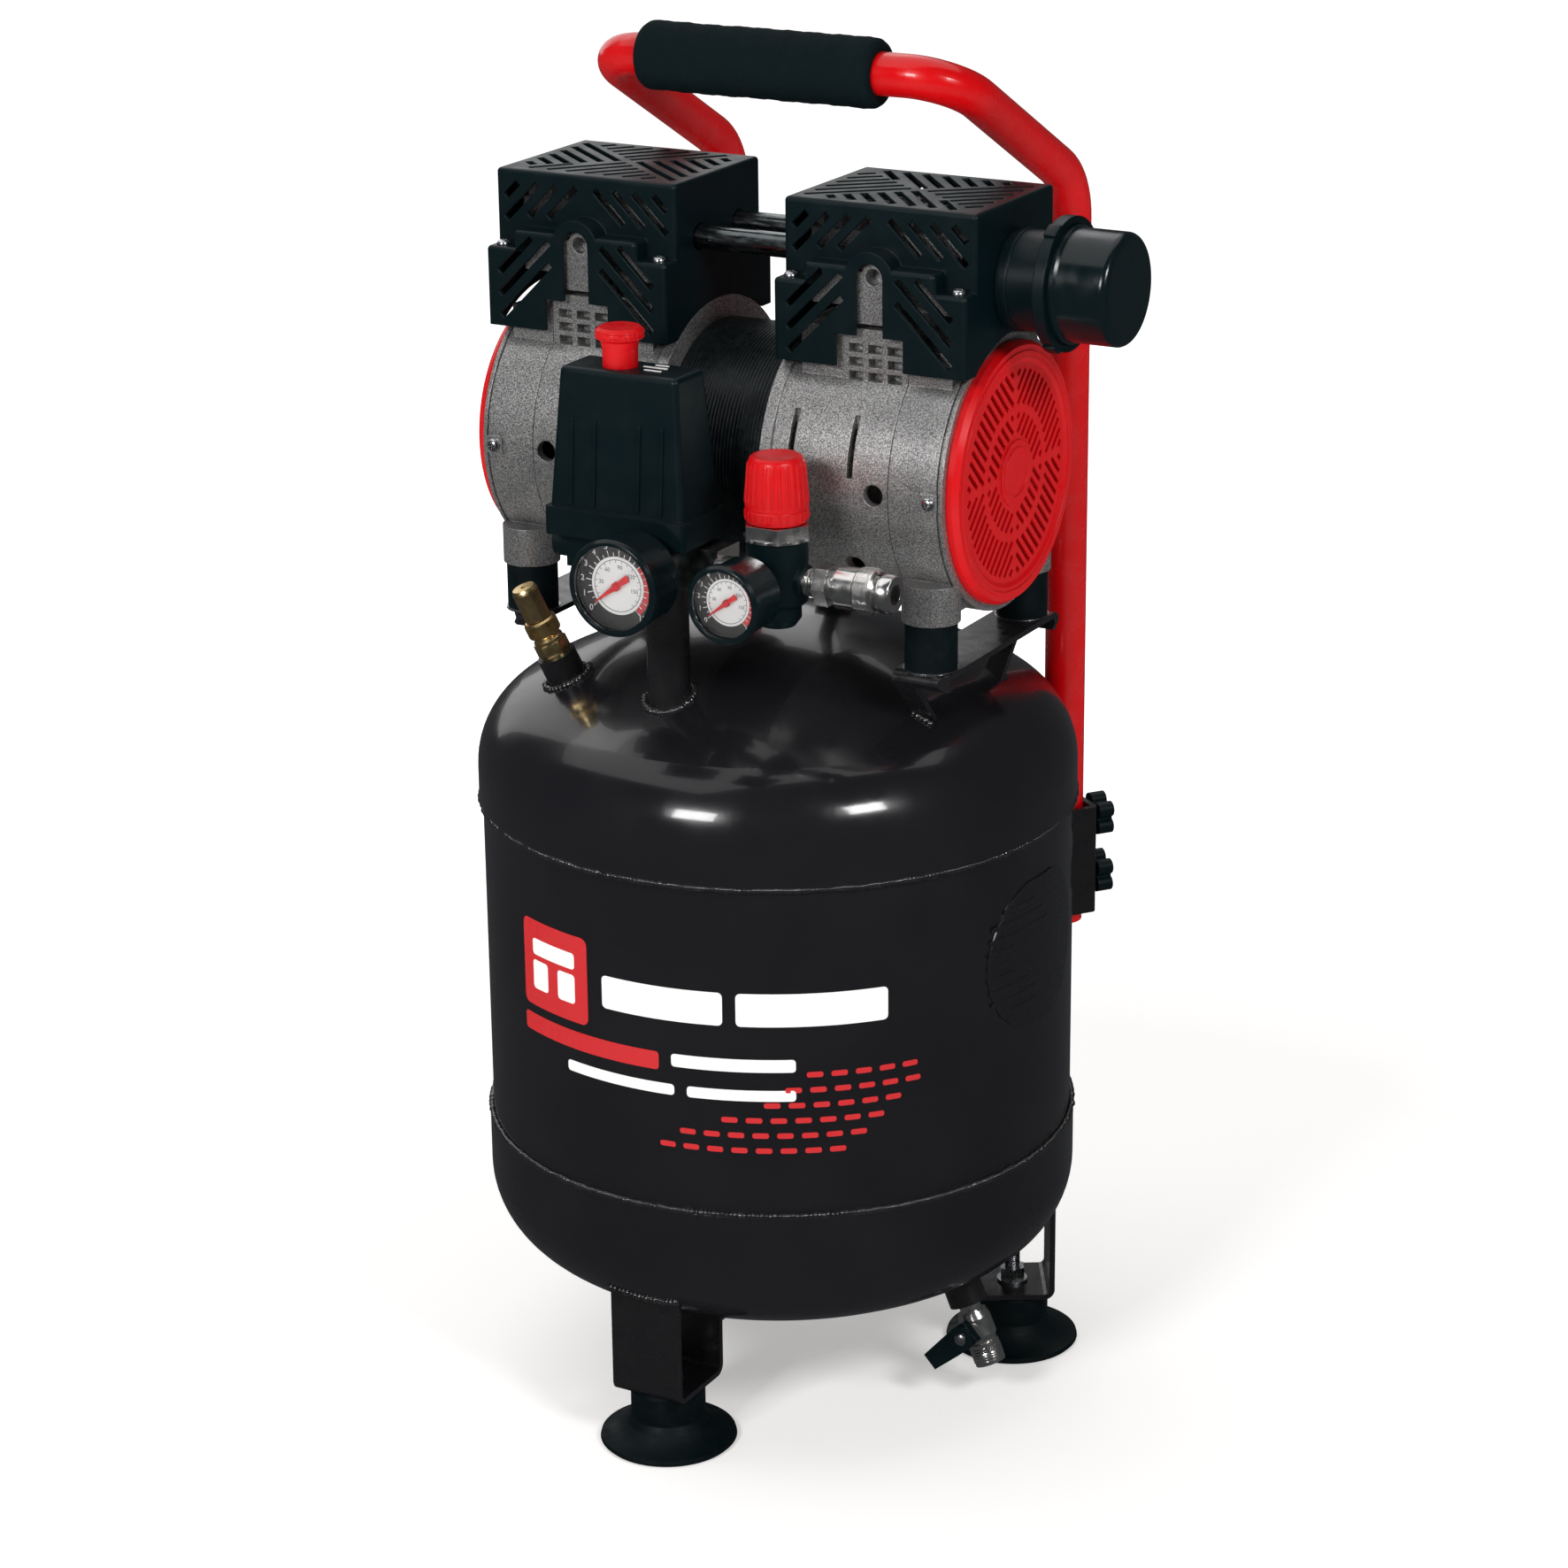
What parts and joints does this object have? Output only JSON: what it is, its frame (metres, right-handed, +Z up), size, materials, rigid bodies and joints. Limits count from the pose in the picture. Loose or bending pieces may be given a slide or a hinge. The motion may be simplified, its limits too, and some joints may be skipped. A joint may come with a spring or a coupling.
{
  "type": "twin stack compressor",
  "caption": "Upright oil-free air compressor: vertical receiver on rubber feet, twin-cylinder motor pump with louvred shrouds, tube handle, pressure switch, regulator and gauges.",
  "frame": {"origin": "middle of the footprint at floor level", "axes": "+Z up; +X along the motor axis towards the intake filter; -Y is the front with the gauges, +Y the handle side"},
  "size_m": [0.361, 0.3291, 0.7333],
  "materials": {
    "tank_paint": "gloss black enamel",
    "cast_alloy": "speckled silver-grey hammertone on cast alloy",
    "black_plastic": "satin moulded black",
    "black_rubber": "matt moulded rubber",
    "foam": "closed-cell foam",
    "red_paint": "gloss red powder coat",
    "red_plastic": "moulded red",
    "zinc_steel": "bright zinc plate",
    "bare_steel": "machined",
    "laminations": "black varnished stack",
    "dark_chrome": "dark chrome",
    "nickel": "bright nickel plate",
    "brass": "turned brass",
    "dial": "printed dial",
    "lens": "clear",
    "filter_felt": "felt",
    "data_plate": "painted over"
  },
  "bodies": {
    "receiver": {"tank_shell": "tank_paint", "tank_top_head": "tank_paint", "tank_bottom_head": "tank_paint", "riser_pipe": "tank_paint", "fitting_bosses": "tank_paint", "data_plate": "data_plate", "leg_brackets": "tank_paint", "rubber_feet": "black_rubber", "foot_bolts": "zinc_steel", "pump_rails": "tank_paint", "rubber_mounts": "black_rubber", "crankcase_right": "cast_alloy", "crankcase_left": "cast_alloy", "end_frames": "cast_alloy", "stator": "laminations", "bearings": "bare_steel", "cylinder_sleeves": "bare_steel", "cylinder_heads": "cast_alloy", "pump_bolts": "zinc_steel", "air_tubes": "dark_chrome", "shroud_right": "black_plastic", "shroud_left": "black_plastic", "fan_guards": "red_plastic", "cover_screws": "zinc_steel", "filter_base": "black_plastic", "filter_element": "filter_felt", "filter_cap": "black_plastic", "switch_cover": "black_plastic", "switch_base": "black_plastic", "manifold": "nickel", "regulator_body": "black_plastic", "bonnet_nut": "nickel", "gauge_large_case": "black_plastic", "gauge_small_case": "black_plastic", "gauge_dials": "dial", "gauge_lenses": "lens", "coupler_body": "nickel", "safety_valve_body": "brass", "drain_valve_body": "nickel", "handle_clamps": "tank_paint"},
    "rotor_set": {"motor_shaft": "bare_steel", "rotor": "laminations", "eccentrics": "bare_steel", "fans": "black_plastic"},
    "piston_right": {"piston_right": "bare_steel"},
    "piston_left": {"piston_left": "bare_steel"},
    "switch_knob": {"switch_knob": "red_plastic"},
    "regulator_spindle": {"regulator_spindle": "bare_steel"},
    "regulator_knob": {"regulator_knob": "red_plastic"},
    "large_needle": {"gauge_large_needle": "red_plastic"},
    "small_needle": {"gauge_small_needle": "red_plastic"},
    "coupler_sleeve": {"coupler_sleeve": "nickel"},
    "safety_cap": {"safety_valve_cap": "brass"},
    "drain_lever": {"drain_lever": "black_plastic"},
    "handle": {"handle_tube": "red_paint", "foam_grip": "foam"},
    "star_upper_right": {"star_knob_upper_right": "black_plastic"},
    "star_lower_right": {"star_knob_lower_right": "black_plastic"},
    "star_upper_left": {"star_knob_upper_left": "black_plastic"},
    "star_lower_left": {"star_knob_lower_left": "black_plastic"}
  },
  "joints": [
    {"name": "rotor_spin", "type": "hinge", "parent": "receiver", "child": "rotor_set", "pos_m": [-0.0206, -0.0001, 0.52], "axis": [1, 0, 0], "continuous": true},
    {"name": "piston_right_stroke", "type": "slide", "parent": "receiver", "child": "piston_right", "axis": [0, 0, 1], "range_m": [0, 0.01]},
    {"name": "piston_left_stroke", "type": "slide", "parent": "receiver", "child": "piston_left", "axis": [0, 0, 1], "range_m": [-0.01, 0]},
    {"name": "switch_knob_push", "type": "slide", "parent": "receiver", "child": "switch_knob", "axis": [0, 0, 1], "range_m": [-0.006, 0]},
    {"name": "regulator_turn", "type": "hinge", "parent": "receiver", "child": "regulator_spindle", "pos_m": [0.0394, -0.1051, 0.503], "axis": [0, 0, 1], "range_deg": [-1080, 1080]},
    {"name": "regulator_knob_lift", "type": "slide", "parent": "regulator_spindle", "child": "regulator_knob", "axis": [0, 0, 1], "range_m": [0, 0.003]},
    {"name": "large_needle_swing", "type": "hinge", "parent": "receiver", "child": "large_needle", "pos_m": [-0.024, -0.1551, 0.482], "axis": [0, 1, 0], "range_deg": [0, 262]},
    {"name": "small_needle_swing", "type": "hinge", "parent": "receiver", "child": "small_needle", "pos_m": [0.0386, -0.1551, 0.482], "axis": [0, 1, 0], "range_deg": [0, 262]},
    {"name": "coupler_sleeve_pull", "type": "slide", "parent": "receiver", "child": "coupler_sleeve", "axis": [-1, 0, 0], "range_m": [0, 0.004], "stiffness_N_per_m": 1500, "springref_m": -0.003},
    {"name": "safety_cap_lift", "type": "slide", "parent": "receiver", "child": "safety_cap", "axis": [-0.3036, -0.2607, 0.9164], "range_m": [0, 0.002], "stiffness_N_per_m": 3000, "springref_m": -0.002},
    {"name": "drain_lever_turn", "type": "hinge", "parent": "receiver", "child": "drain_lever", "pos_m": [0.10583, -0.01116, 0.04316], "axis": [-0.0147, -0.9994, 0.0327], "range_deg": [0, 90]},
    {"name": "handle_slide", "type": "slide", "parent": "receiver", "child": "handle", "axis": [0, 0, 1], "range_m": [0, 0.03]},
    {"name": "star_upper_right_turn", "type": "hinge", "parent": "receiver", "child": "star_upper_right", "pos_m": [0.09549, 0.15283, 0.284], "axis": [0.6046, 0.7965, 0], "range_deg": [0, 1080]},
    {"name": "star_lower_right_turn", "type": "hinge", "parent": "receiver", "child": "star_lower_right", "pos_m": [0.09549, 0.15283, 0.25], "axis": [0.6046, 0.7965, 0], "range_deg": [0, 1080]},
    {"name": "star_upper_left_turn", "type": "hinge", "parent": "receiver", "child": "star_upper_left", "pos_m": [-0.13669, 0.15283, 0.284], "axis": [-0.6046, 0.7965, 0], "range_deg": [0, 1080]},
    {"name": "star_lower_left_turn", "type": "hinge", "parent": "receiver", "child": "star_lower_left", "pos_m": [-0.13669, 0.15283, 0.25], "axis": [-0.6046, 0.7965, 0], "range_deg": [0, 1080]}
  ]
}
